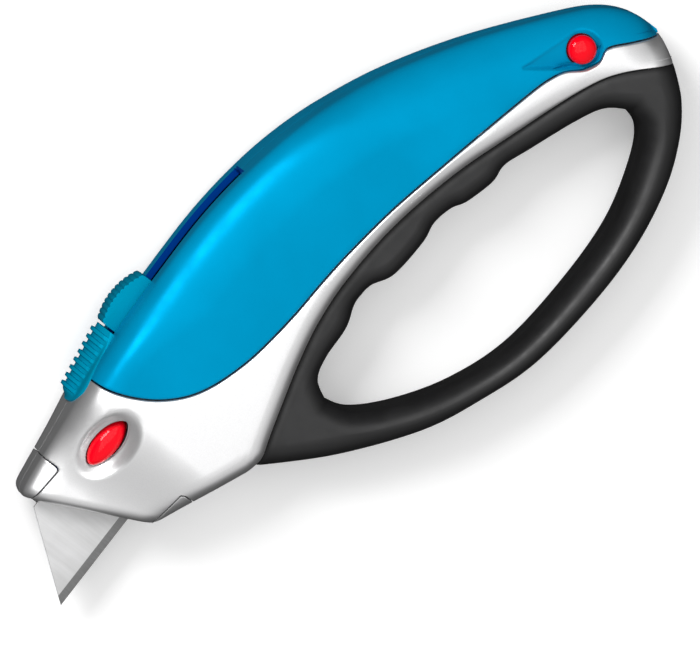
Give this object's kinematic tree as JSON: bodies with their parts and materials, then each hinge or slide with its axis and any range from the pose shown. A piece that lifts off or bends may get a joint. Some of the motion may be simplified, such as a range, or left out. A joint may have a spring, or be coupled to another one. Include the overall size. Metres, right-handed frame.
{
  "type": "utility knife",
  "caption": "Retractable trapezoid-blade knife with a closed finger loop, a thumb slide, a blade release button and a hinged store cover.",
  "frame": {"origin": "centre of the bounding box in plan, on the surface that the knife's right side lies on", "axes": "+X from the blade tip to the tail, along the blade's slide; +Y to the back of the knife, where the thumb slide is; +Z out of the left side, away from the surface"},
  "size_m": [0.1852, 0.089, 0.0268],
  "materials": {
    "silver_body": "satin silver paint",
    "blue_cover": "glossy bright blue",
    "blue_rest": "satin blue, ribbed",
    "black_grip": "soft satin black",
    "black_core": "moulded",
    "inner_blue": "moulded dark blue",
    "blade_steel": "ground steel with a cutting bevel",
    "spring_steel": "bright spring steel",
    "red_button": "glossy red",
    "screw_steel": "zinc plated"
  },
  "bodies": {
    "knife_body": {"body_left": "silver_body", "body_right": "silver_body", "nose_guide": "silver_body", "cover_right": "blue_cover", "thumb_rest": "blue_rest", "grip_left": "black_grip", "grip_right": "black_grip", "loop_core": "black_core", "chassis": "inner_blue", "store_catch": "spring_steel", "release_spring": "spring_steel", "spare_blade_1": "blade_steel", "spare_blade_2": "blade_steel", "spare_blade_3": "blade_steel", "spare_blade_4": "blade_steel", "case_screw_belly": "screw_steel", "case_screw_middle": "screw_steel", "case_screw_back": "screw_steel", "case_screw_tail": "screw_steel"},
    "carriage": {"blade_carriage": "inner_blue", "blade": "blade_steel", "blade_clip": "spring_steel"},
    "thumb": {"thumb_slide": "blue_rest", "slide_spring": "spring_steel"},
    "front_release": {"release_button": "red_button"},
    "hatch": {"cover_left": "blue_cover", "store_spring": "spring_steel"},
    "tail_release": {"store_button": "red_button"}
  },
  "joints": [
    {"name": "blade_slide", "type": "slide", "parent": "knife_body", "child": "carriage", "axis": [1, 0, 0], "range_m": [0, 0.028]},
    {"name": "thumb_press", "type": "slide", "parent": "carriage", "child": "thumb", "axis": [0, -1, 0], "range_m": [0, 0.001], "stiffness_N_per_m": 400, "springref_m": -0.001, "deforming": ["slide_spring"]},
    {"name": "release_press", "type": "slide", "parent": "knife_body", "child": "front_release", "axis": [0, 0, -1], "range_m": [0, 0.0012], "stiffness_N_per_m": 400, "springref_m": -0.001, "deforming": ["release_spring"]},
    {"name": "hatch_hinge", "type": "hinge", "parent": "knife_body", "child": "hatch", "pos_m": [-0.0479, 0.03, 0.0268], "axis": [0, -1, 0], "range_deg": [0, 60]},
    {"name": "store_press", "type": "slide", "parent": "hatch", "child": "tail_release", "axis": [0, 0, -1], "range_m": [0, 0.0012], "stiffness_N_per_m": 400, "springref_m": -0.001, "deforming": ["store_spring"]}
  ]
}
